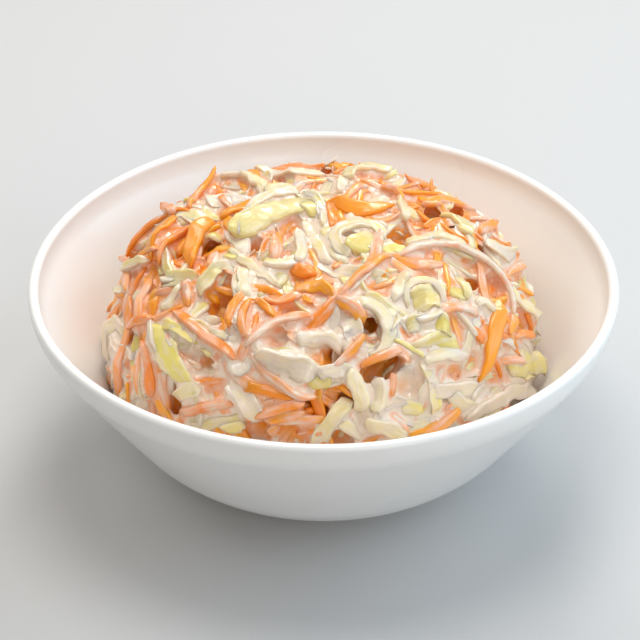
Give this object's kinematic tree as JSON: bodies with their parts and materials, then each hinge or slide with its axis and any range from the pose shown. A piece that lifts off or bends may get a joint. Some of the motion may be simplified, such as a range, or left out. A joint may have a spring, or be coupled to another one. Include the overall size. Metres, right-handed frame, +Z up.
{
  "type": "coleslaw",
  "caption": "Coleslaw of creamy dressed carrot and cabbage shreds, heaped in a round white bowl",
  "frame": {"origin": "on the table under the middle of the bowl's foot", "axes": "+Z up, -Y toward the front of the heap, +X to the right of it"},
  "size_m": [0.2, 0.2, 0.0912],
  "materials": {
    "white_ceramic": "gloss",
    "dressed_shreds": "satin"
  },
  "bodies": {
    "root": {"bowl": "white_ceramic", "coleslaw": "dressed_shreds"}
  },
  "joints": []
}
